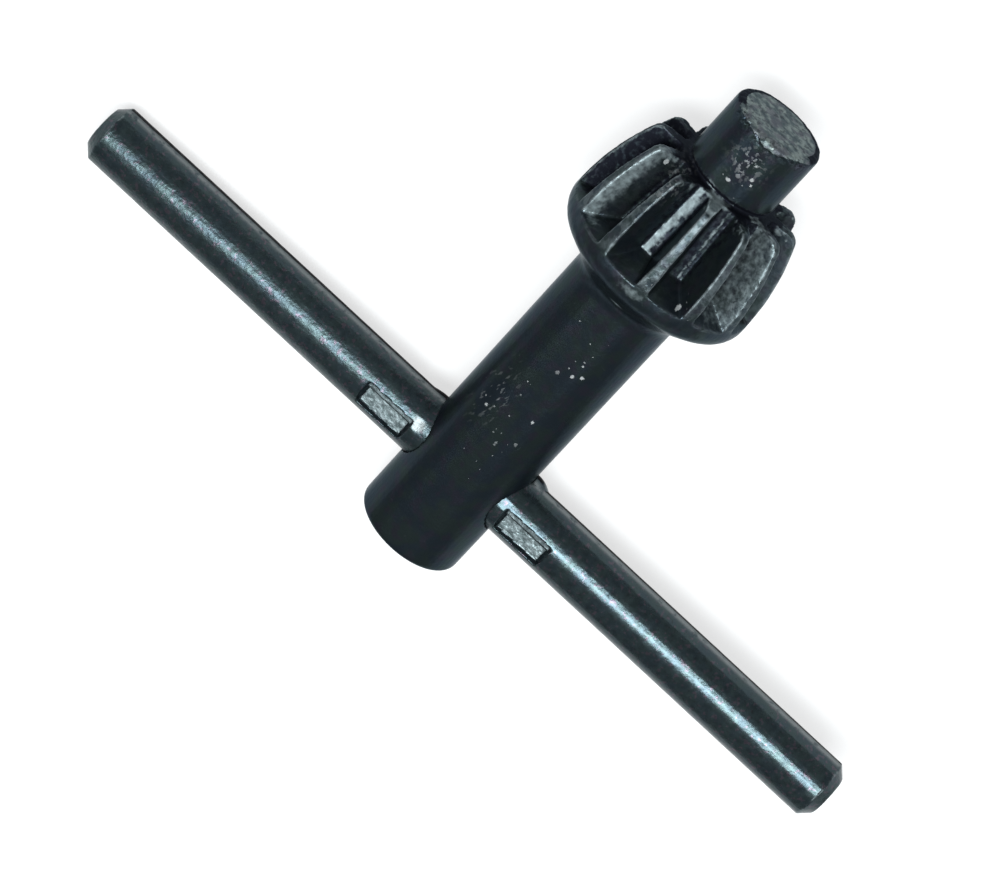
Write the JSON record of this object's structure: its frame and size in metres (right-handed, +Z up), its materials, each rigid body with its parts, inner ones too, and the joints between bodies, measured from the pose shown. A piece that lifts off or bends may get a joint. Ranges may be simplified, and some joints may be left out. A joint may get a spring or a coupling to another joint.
{
  "type": "drill chuck key",
  "caption": "Hand key for a geared drill chuck: a steel shank with a bevel pinion and a plain pilot, turned by a straight cross bar staked through its tail.",
  "frame": {"origin": "on the floor, under the middle of the space that the key takes up as it lies at rest on its rim, the lower edge of its tail and one end of its bar", "axes": "+X from the tail towards the pilot, with the shank's axis about 7 degrees up from the floor; +Y along the cross bar; +Z up"},
  "size_m": [0.0356, 0.0582, 0.0127],
  "materials": {
    "key_body": "hardened steel, oxide black, worn bright along the teeth and the rim",
    "cross_bar": "drawn steel bar, thin oxide black, smooth, with bare punched stake marks"
  },
  "bodies": {
    "root": {"key_body": "key_body", "cross_bar": "cross_bar"}
  },
  "joints": []
}
